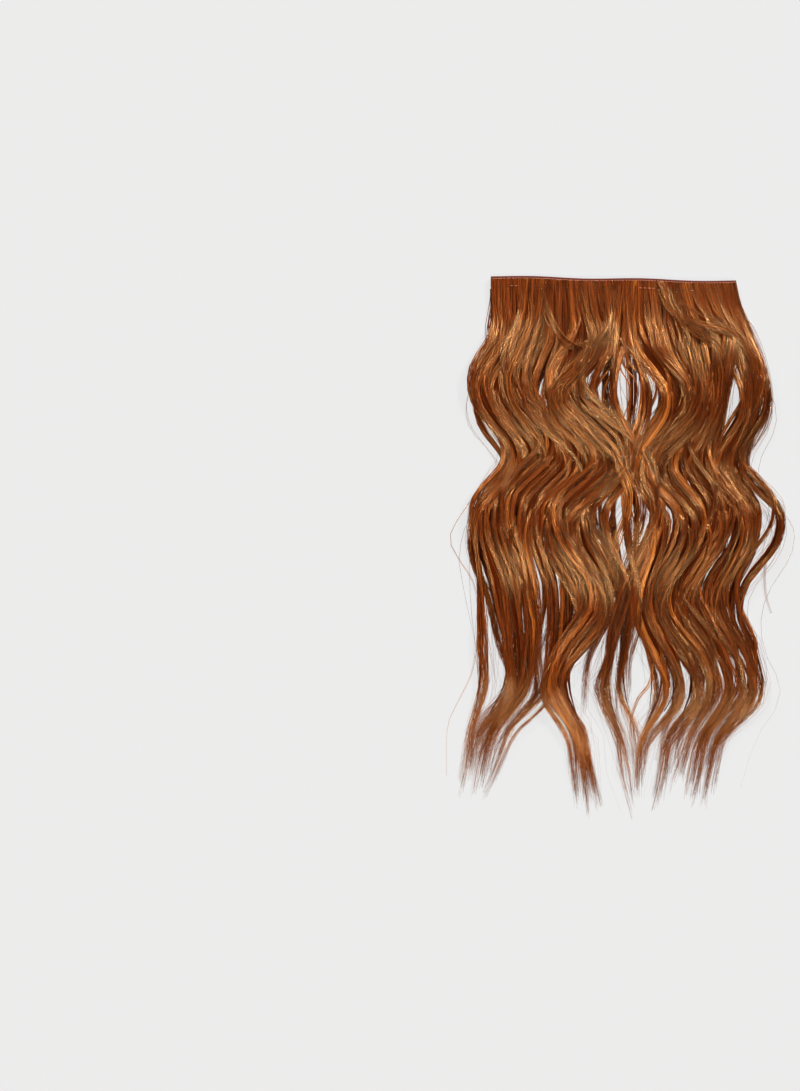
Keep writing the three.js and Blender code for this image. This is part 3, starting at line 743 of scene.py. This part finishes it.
def tube_mesh(name, paths, widths, heights, tones, shares, sides=3, spread=0.0):
    """Closed tubes along paths (strand, point, xyz), joined in one mesh.

    The UV map holds each tube's tone, plus spread from its top round to its underside, and the share.
    """
    count, points, _ = paths.shape
    along = np.gradient(paths, axis=1)
    along /= np.linalg.norm(along, axis=2, keepdims=True)
    side = np.cross(along, (0.0, 0.0, 1.0))
    side /= np.linalg.norm(side, axis=2, keepdims=True)
    up = np.cross(side, along)
    angles = np.pi / 2 + 2 * np.pi * np.arange(sides) / sides
    ring = (np.cos(angles)[:, None] * (side * widths[:, :, None])[:, :, None, :]
            + np.sin(angles)[:, None] * (up * heights[:, :, None])[:, :, None, :])
    corners = (paths[:, :, None, :] + ring).reshape(-1, 3)
    index = np.arange(count * points * sides).reshape(count, points, sides)
    first, second = index[:, :-1, :], index[:, 1:, :]
    quads = np.stack([first, second, np.roll(second, -1, 2), np.roll(first, -1, 2)], axis=3).reshape(-1, 4)
    caps = np.concatenate([index[:, 0, :], index[:, -1, ::-1]])
    loops = np.concatenate([quads.ravel(), caps.ravel()]).astype(np.int32)
    starts = np.concatenate([np.arange(len(quads)) * 4,
                             len(quads) * 4 + np.arange(len(caps)) * sides]).astype(np.int32)
    mesh = bpy.data.meshes.new(name)
    mesh.vertices.add(len(corners))
    mesh.vertices.foreach_set("co", corners.astype(np.float32).ravel())
    mesh.loops.add(len(loops))
    mesh.loops.foreach_set("vertex_index", loops)
    mesh.polygons.add(len(starts))
    mesh.polygons.foreach_set("loop_start", starts)
    mesh.polygons.foreach_set("use_smooth", np.arange(len(starts)) < len(quads))
    mesh.update(calc_edges=True)
    around = spread * (1 - np.abs(2 * np.arange(sides) / sides - 1))
    toned = (np.asarray(tones)[:, None, None] + np.tile(around, (count, points, 1))).ravel()
    uv = np.stack([toned, np.repeat(shares.ravel(), sides)], axis=1)
    layer = mesh.uv_layers.new(name="strand")
    layer.data.foreach_set("uv", uv[loops].astype(np.float32).ravel())
    mesh.validate()
    obj = bpy.data.objects.new(name, mesh)
    bpy.context.scene.collection.objects.link(obj)
    return obj


def hair_material(name, hair):
    """Strand colours from the strand's own tone and its place along the length."""
    shader = Shader(name, roughness=0.25, specular=1.0)
    shader.feed("IOR", STRAND_IOR)
    shader.feed("Specular Tint", hair.gloss)
    uv = shader.node("ShaderNodeUVMap", {"uv_map": "strand"})
    own = shader.node("ShaderNodeSeparateXYZ", None, {0: uv}, output=0)
    share = shader.node("ShaderNodeSeparateXYZ", None, {0: uv}, output=1)
    lengthwise = shader.node("ShaderNodeCombineXYZ", None, {
        "X": own * DRIFT_ACROSS, "Y": share * DRIFT_ALONG})
    drift = shader.node("ShaderNodeTexNoise", {"noise_dimensions": "3D"},
                        {"Vector": lengthwise, "Scale": 1.0, "Detail": 2.0})
    tone = own + (drift - 0.5) * TONE_DRIFT + share.grown(*TIP_LIGHTENING)
    stops = tuple(zip(TONE_STOPS, (hair.shadow, hair.brown, hair.copper, hair.honey)))
    colour = shader.node("ShaderNodeValToRGB", {"stops": stops}, {"Fac": tone})
    amount, low, high = ROOT_TINTING
    colour = shader.mix((1 - share.ramp(low, high)) * amount, colour, hair.root)
    # Towards the tips the strands tend to a lighter, warmer colour
    colour = shader.mix(share.grown(*TIP_TINTING), colour, hair.tip_tint)
    shader.feed("Base Color", colour)
    return shader.material


def add_layer_strands(name, layer, count, pieces, hair, seed):
    """Adds a layer's strands as a few joined meshes, each under the limit of triangles."""
    random = np.random.default_rng(seed)
    locks = make_locks(layer)
    total = sum(lock.row["width"] * lock.row["fill"] for lock in locks)
    made = [strand_paths(lock, round(count * lock.row["width"] * lock.row["fill"] / total),
                         hair.wisp_strands, random) for lock in locks]
    paths, radii, tones, shares = (np.concatenate(part) for part in zip(*made))
    radii = radii * hair.strand_radius * random.uniform(*STRAND_SIZES, (len(radii), 1))
    material = hair_material(name + "_finish", hair)
    for i, part in enumerate(np.array_split(np.arange(len(paths)), pieces)):
        strands = tube_mesh(f"{name}_{i + 1}", paths[part], radii[part], radii[part],
                            tones[part], shares[part], spread=TONE_ROUND_STRAND)
        finish_piece(strands, material, "hair", "hair_" + layer)


class ExtensionOperator:
    """What the operators share: they can be undone and run from the panel."""

    bl_options = {"REGISTER", "UNDO"}


class EXTENSION_OT_hair_core(ExtensionOperator, bpy.types.Operator):
    """Adds the dense inner hair that the strands lie on, coloured darker than the strands as painted shade"""

    bl_idname = "extension.hair_core"
    bl_label = "Inner hair"

    def execute(self, context):
        hair, _, _ = settings(context)
        for layer in ("over", "under"):
            self.add_core(layer, hair)
        return {"FINISHED"}

    def add_core(self, layer, hair):
        """A flat tube inside each lock, so that no floor shows between its strands; its dark colour is
        painted shade between the strands.

        Near the roots the tubes are wide enough to meet, and further down they stay inside their locks.
        """
        locks = make_locks(layer)
        paths, widths, heights, shares = zip(*map(self.inner_tube, locks))
        core = tube_mesh(f"hair_core_{layer}", np.array(paths), np.array(widths), np.array(heights),
                         np.arange(len(locks)), np.array(shares), sides=CORE_SIDES, spread=CORE_TONES)
        shader = Shader(f"inner_hair_painted_shade_{layer}", roughness=0.6, specular=0.05)
        shader.feed("Specular Tint", hair.gloss)
        uv = shader.node("ShaderNodeUVMap", {"uv_map": "strand"})
        fine = shader.node("ShaderNodeMapping", None, {"Vector": uv, "Scale": (46.0, 5.0, 1.0)})
        streaks = shader.node("ShaderNodeTexNoise", None, {"Vector": fine, "Scale": 1.0, "Detail": 2.0})
        # Streaks of hair in the darkest and the brown strand colours; their darkness is painted shade inside
        # the lock
        shader.feed("Base Color", shader.mix(streaks.ramp(0.35, 0.7), hair.shadow, hair.brown))
        shader.bump(streaks, 0.5 * MM, 0.7)
        finish_piece(core, shader.material, "hair", "hair_" + layer)

    def inner_tube(self, lock):
        """The middle, half width, half thickness and length shares of the tube inside a lock."""
        reached = lock.start + (lock.end - lock.start) * CORE_REACH
        depth = lock.depths(np.array([[reached]]), CORE_POINTS)[0] + CORE_START * MM
        sunk = lock.height(depth) - lock.half_thickness(depth) * CORE_SINK
        closing = 1 - grown(depth / lock.end, *CORE_CLOSING)
        low, high = CORE_MEETING_DEPTHS
        meeting = 1 - smooth_step(depth, low * MM, high * MM)
        filled = meeting + (1 - meeting) * lock.row["fill"]
        width = lock.half_width(depth) * (CORE_WIDTH + CORE_MEETING * meeting) * closing * filled
        height = lock.half_thickness(depth) * CORE_THICKNESS * closing * lock.row["fill"]
        middle = np.stack([lock.middle_x(depth), EDGE_Y - depth, sunk], axis=1)
        return middle, width, height, depth / HAIR_LENGTH


class EXTENSION_OT_hair_strands(ExtensionOperator, bpy.types.Operator):
    """Adds the strands of both layers"""

    bl_idname = "extension.hair_strands"
    bl_label = "Strands"

    def execute(self, context):
        hair, _, _ = settings(context)
        add_layer_strands("strands_under", "under", hair.under_strands, 2, hair, 11)
        add_layer_strands("strands_over", "over", hair.over_strands, 4, hair, 23)
        return {"FINISHED"}


class EXTENSION_OT_flyaways(ExtensionOperator, bpy.types.Operator):
    """Adds the thin strands that stray from the locks and the small locks that curl by themselves"""

    bl_idname = "extension.flyaways"
    bl_label = "Flyaways"

    def execute(self, context):
        hair, _, _ = settings(context)
        random = np.random.default_rng(31)
        self.add_loose(hair, random)
        self.add_curls(hair, random)
        return {"FINISHED"}

    def add_loose(self, hair, random):
        """Strands of the upper locks that wander further than the rest."""
        locks = make_locks("over")
        count = max(2, round(hair.flyaways / len(locks)))
        parts = [strand_paths(lock, count, 1, random) for lock in locks]
        paths, radii, tones, shares = (np.concatenate(part) for part in zip(*parts))
        drift = grown(shares, *LOOSE_DRIFT) * MM
        phase = random.uniform(0, 2 * np.pi, (len(paths), 1))
        sway = random.normal(0, 1, (len(paths), 1))
        paths[:, :, 0] += drift * (sway + LOOSE_WAVE * np.sin(2 * np.pi * LOOSE_WAVES * shares + phase))
        lifted = paths[:, :, 2] + drift * LOOSE_LIFT * np.cos(LOOSE_LIFT_TURN * shares + phase)
        paths[:, :, 2] = np.maximum(lifted, LOOSE_LOWEST * MM)
        thin = radii * hair.strand_radius * LOOSE_THICKNESS
        loose = tube_mesh("loose_strands", paths, thin, thin, tones, shares)
        finish_piece(loose, hair_material("loose_finish", hair), "hair", "hair_over")

    def add_curls(self, hair, random):
        """The strands that lie in a curve of their own, each as a small lock that is gathered at its ends."""
        rise = np.insert(np.linspace(0, 1, STRAND_POINTS - 1), 1, CURL_CAP)
        made = [strand for curl in CURLS for strand in self.curl_strands(curl, rise, hair, random)]
        paths, radii, shares, tones = (np.array(each) for each in zip(*made))
        curls = tube_mesh("curled_strands", paths, radii, radii, np.clip(tones, 0, 1), shares)
        finish_piece(curls, hair_material("curl_finish", hair), "hair", "hair_over")

    def curl_strands(self, curl, rise, hair, random):
        """The middle, radii, length shares and tone of each hair in a curl."""
        points = curl["points"]
        steps = [math.dist(start[:2], end[:2]) for start, end in zip(points, points[1:])]
        reach = np.concatenate([[0], np.cumsum(steps)])
        share_x, share_y, height = (smooth_curve(reach, values, rise * reach[-1]) for values in zip(*points))
        lean = np.gradient(share_x * WEFT_WIDTH) / np.gradient(share_y * HAIR_LENGTH + rise * MM)
        norm = np.hypot(1, lean)
        opened = CURL_END_WIDTH + (1 - CURL_END_WIDTH) * np.sin(np.pi * rise)
        started = CURL_START_FINENESS + grown(rise, *CURL_START)
        radius = hair.strand_radius * curl["thick"] * started * (1 - grown(rise, *CURL_THINNING))
        spread = curl["spread"] * MM
        tone = random.uniform(*CURL_TONES)
        for _ in range(curl["hairs"]):
            turn, phase = random.uniform(*CURL_WANDER_TURN), random.uniform(*CURL_WANDER_PHASE)
            aside = spread * (random.normal(0, 1) + CURL_WANDER * np.sin(rise * turn + phase)) * opened
            above = spread * CURL_THICKNESS * random.uniform(-1, 1)
            middle = np.stack([across(share_x) + aside / norm,
                               EDGE_Y - share_y * HAIR_LENGTH + aside * lean / norm,
                               np.maximum(height * MM + above, LOWEST * MM)], axis=1)
            yield middle, radius, share_y, tone + random.normal(0, CURL_HAIR_TONES)


class EXTENSION_OT_band(ExtensionOperator, bpy.types.Operator):
    """Finishes the band and the rolled seam, and adds the sewing threads"""

    bl_idname = "extension.band"
    bl_label = "Band and threads"

    def execute(self, context):
        _, band, _ = settings(context)
        self.finish_tape(band)
        self.finish_seam(band)
        self.add_edge_thread(band)
        self.add_stitches(band)
        return {"FINISHED"}

    def finish_tape(self, band):
        shader = Shader("tape", roughness=0.85, specular=0.3)
        place = shader.object_place()
        weave = shader.node("ShaderNodeTexWave", {"wave_type": "BANDS", "bands_direction": "DIAGONAL"},
                            {"Vector": place, "Scale": 900.0, "Distortion": 1.0, "Detail": 1.0})
        shader.feed("Base Color", shader.mix(weave, darker(band.tape, 0.6), band.tape))
        shader.bump(weave, 0.15 * MM, 0.8)
        dress_node("weft_band", shader.material)

    def finish_seam(self, band):
        shader = Shader("rolled_seam", roughness=0.7, specular=0.35)
        place = shader.object_place()
        twist = shader.node("ShaderNodeTexWave", {"wave_type": "BANDS", "bands_direction": "X"},
                            {"Vector": place, "Scale": 420.0, "Distortion": 3.0, "Detail": 2.0})
        shader.feed("Base Color", shader.mix(twist, darker(band.seam, 0.45), band.seam))
        shader.bump(twist, 0.2 * MM, 0.7)
        dress_node("top_seam", shader.material)

    def add_stitch_row(self, name, spans, drop, row, colour):
        """Short raised stitches from share to share across the band, drop below its edge."""
        rise = np.linspace(0, 1, STITCH_POINTS)
        x = np.array([np.linspace(across(left), across(right), STITCH_POINTS) for left, right in spans])
        y = EDGE_Y + edge_wave(x) - drop
        radius = row["radius"] * MM
        z = np.tile(row["height"] * MM + STITCH_ARCH * radius * np.sin(np.pi * rise), (len(spans), 1))
        radii = np.full(x.shape, radius)
        stitches = tube_mesh(name, np.stack([x, y, z], axis=2), radii, radii, np.arange(len(spans)),
                             np.tile(rise, (len(spans), 1)), sides=STITCH_SIDES)
        shader = Shader(name + "_thread", roughness=0.6, specular=0.35)
        uv = shader.node("ShaderNodeUVMap", {"uv_map": "strand"})
        plies = shader.node("ShaderNodeTexWave", {"wave_type": "BANDS", "bands_direction": "DIAGONAL"},
                            {"Vector": uv, "Scale": 3.0, "Distortion": 1.0})
        shader.feed("Base Color", shader.mix(plies, darker(colour, 0.6), colour))
        shader.bump(plies, 0.1 * MM, 0.6)
        finish_piece(stitches, shader.material, "seam")

    def add_edge_thread(self, band):
        """The pale dashes of thread right below the rolled seam."""
        random = np.random.default_rng(7)
        starts = np.linspace(*EDGE_THREAD["ends"], EDGE_STITCHES)
        starts = starts + random.uniform(-EDGE_STRAY, EDGE_STRAY, EDGE_STITCHES)
        spans = [(start, start + random.uniform(*EDGE_THREAD["length"])) for start in starts]
        self.add_stitch_row("edge_thread", spans, EDGE_THREAD["drop"] * MM, EDGE_THREAD, band.thread)

    def add_stitches(self, band):
        """The row of small stitches along the band's lower edge, brown but for a few pale ones."""
        random = np.random.default_rng(5)
        starts = np.arange(*LOW_STITCHES["ends"], LOW_STITCH_PITCH)
        spans = [(start, start + random.uniform(*LOW_STITCHES["length"])) for start in starts]
        pale = [any(low <= left <= high for low, high in PALE_STITCHES) for left, _ in spans]
        drop = BAND_HEIGHT - LOW_STITCHES["rise"] * MM
        for name, colour, wanted in (("stitches_brown", band.stitch, False),
                                     ("stitches_pale", band.thread, True)):
            chosen = [span for span, is_pale in zip(spans, pale) if is_pale == wanted]
            self.add_stitch_row(name, chosen, drop, LOW_STITCHES, colour)


class EXTENSION_OT_clips(ExtensionOperator, bpy.types.Operator):
    """Finishes the comb clips under the band"""

    bl_idname = "extension.clips"
    bl_label = "Clips"

    def execute(self, context):
        _, band, _ = settings(context)
        shader = Shader("clip_lacquer", roughness=0.38, specular=0.5, metallic=0.35)
        place = shader.object_place()
        wear = shader.node("ShaderNodeTexNoise", None, {"Vector": place, "Scale": 420.0, "Detail": 4.0})
        shader.feed("Base Color", shader.mix(wear, darker(band.clip, 0.6), band.clip))
        shader.feed("Roughness", wear * 0.25 + 0.28)
        for name in ("clip_left", "clip_middle", "clip_right"):
            dress_node(name, shader.material)
        return {"FINISHED"}


class EXTENSION_OT_stage(ExtensionOperator, bpy.types.Operator):
    """Adds the floor, the lights and the camera"""

    bl_idname = "extension.stage"
    bl_label = "Stage"

    def execute(self, context):
        _, _, stage = settings(context)
        self.add_floor(stage)
        self.add_lights(context, stage)
        self.add_camera(context)
        context.scene.view_settings.view_transform = "Standard"
        context.scene.view_settings.gamma = VIEW_GAMMA
        return {"FINISHED"}

    def add_floor(self, stage):
        floor = bmesh.new()
        bmesh.ops.create_grid(floor, x_segments=1, y_segments=1, size=FLOOR_HALF)
        mesh = bpy.data.meshes.new("floor")
        floor.to_mesh(mesh)
        floor.free()
        obj = bpy.data.objects.new("floor", mesh)
        bpy.context.scene.collection.objects.link(obj)
        shader = Shader("pale_floor", roughness=0.9, specular=0.0)
        shader.feed("Base Color", darker(stage.floor, 1 - stage.glow))
        shader.feed("Emission Color", stage.floor)
        shader.feed("Emission Strength", stage.glow)
        obj.data.materials.append(shader.material)
        obj.visible_glossy = False

    def add_lights(self, context, stage):
        """Soft lights from both corners beyond the band and from beyond the tips, and an even pale sky."""
        for name, strength, toward in (("key_light", stage.key, (-0.45, 0.5, 0.75)),
                                       ("fill_light", stage.fill, (0.42, 0.46, 0.78)),
                                       ("back_light", stage.back, (0.06, -0.36, 0.93))):
            light = bpy.data.lights.new(name, "SUN")
            light.energy = strength
            light.angle = SUN_SIZE
            obj = bpy.data.objects.new(name, light)
            obj.rotation_euler = Vector(toward).to_track_quat("Z", "Y").to_euler()
            context.scene.collection.objects.link(obj)
        world = bpy.data.worlds.new("surroundings")
        world.use_nodes = True
        background = world.node_tree.nodes["Background"]
        background.inputs["Color"].default_value = (*stage.sky_colour, 1.0)
        background.inputs["Strength"].default_value = stage.sky
        context.scene.world = world

    def add_camera(self, context):
        """Straight above the middle of the photograph, at the scale and the tilt of the band in it."""
        scale = WEFT_WIDTH / BAND_WIDTH_PX
        right = (PHOTO_SIZE[0] / 2 - BAND_CORNER_PX[0]) * scale
        up = -(PHOTO_SIZE[1] / 2 - BAND_CORNER_PX[1]) * scale
        turn_x, turn_y = math.cos(BAND_TILT), math.sin(BAND_TILT)
        camera = bpy.data.cameras.new("camera")
        camera.lens = LENS
        camera.sensor_width = SENSOR
        distance = PHOTO_SIZE[1] * scale * camera.lens / camera.sensor_width
        obj = bpy.data.objects.new("camera", camera)
        obj.location = (BAND_LEFT + right * turn_x - up * turn_y, EDGE_Y + right * turn_y + up * turn_x,
                        distance + PILE_HEIGHT / 2)
        obj.rotation_euler = (0, 0, BAND_TILT)
        context.scene.collection.objects.link(obj)
        context.scene.camera = obj


class EXTENSION_PT_panel(bpy.types.Panel):
    """Lists the sizes, the colours and the pieces of the hair extension"""

    bl_idname = "EXTENSION_PT_panel"
    bl_label = "Hair extension"
    bl_space_type = "VIEW_3D"
    bl_region_type = "UI"
    bl_category = "Hair extension"

    def draw(self, context):
        for group in settings(context):
            box = self.layout.box()
            for name in group.__annotations__:
                box.prop(group, name)
        for operator in PIECES:
            self.layout.operator(operator.bl_idname)


PIECES = (EXTENSION_OT_hair_core, EXTENSION_OT_hair_strands, EXTENSION_OT_flyaways, EXTENSION_OT_band,
          EXTENSION_OT_clips, EXTENSION_OT_stage)
GROUPS = {"extension_hair": HairSettings, "extension_band": BandSettings, "extension_stage": StageSettings}
CLASSES = (*GROUPS.values(), *PIECES, EXTENSION_PT_panel)


def register():
    for each in CLASSES:
        bpy.utils.register_class(each)
    for name, group in GROUPS.items():
        setattr(bpy.types.Scene, name, PointerProperty(type=group))


def unregister():
    for name in GROUPS:
        delattr(bpy.types.Scene, name)
    for each in reversed(CLASSES):
        bpy.utils.unregister_class(each)


def main():
    register()
    bpy.ops.extension.stage()
    bpy.ops.extension.hair_core()
    bpy.ops.extension.hair_strands()
    bpy.ops.extension.flyaways()
    bpy.ops.extension.band()
    bpy.ops.extension.clips()


if __name__ == "__main__":
    main()
